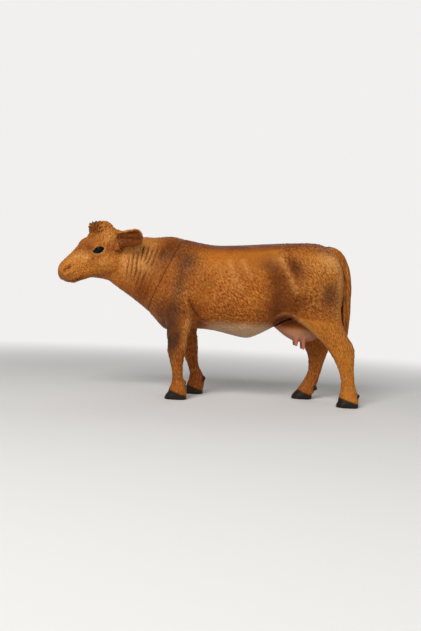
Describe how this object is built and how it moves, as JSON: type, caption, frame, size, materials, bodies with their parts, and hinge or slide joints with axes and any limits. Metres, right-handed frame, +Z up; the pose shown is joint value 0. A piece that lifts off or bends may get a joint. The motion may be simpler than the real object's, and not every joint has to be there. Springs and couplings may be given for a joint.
{
  "type": "toy farm animal figure",
  "caption": "Standing brown cow figurine of soft plastic, head turned a little to its left, for pretend play on a flat surface.",
  "frame": {"origin": "middle of the figure's box, on the ground that it stands on", "axes": "+Z up, -X the way the cow faces, -Y its left side, so +X runs along its length"},
  "size_m": [0.1488, 0.04, 0.0852],
  "materials": {
    "torso": "satin airbrushed paint",
    "head_and_neck": "satin airbrushed paint",
    "left_ear": "satin airbrushed paint",
    "right_ear": "satin airbrushed paint",
    "left_foreleg": "satin airbrushed paint",
    "right_foreleg": "satin airbrushed paint",
    "left_hind_leg": "satin airbrushed paint",
    "right_hind_leg": "satin airbrushed paint",
    "tail": "satin airbrushed paint",
    "udder": "satin airbrushed paint"
  },
  "bodies": {
    "root": {"torso": "torso", "head_and_neck": "head_and_neck", "left_ear": "left_ear", "right_ear": "right_ear", "left_foreleg": "left_foreleg", "right_foreleg": "right_foreleg", "left_hind_leg": "left_hind_leg", "right_hind_leg": "right_hind_leg", "tail": "tail", "udder": "udder"}
  },
  "joints": []
}
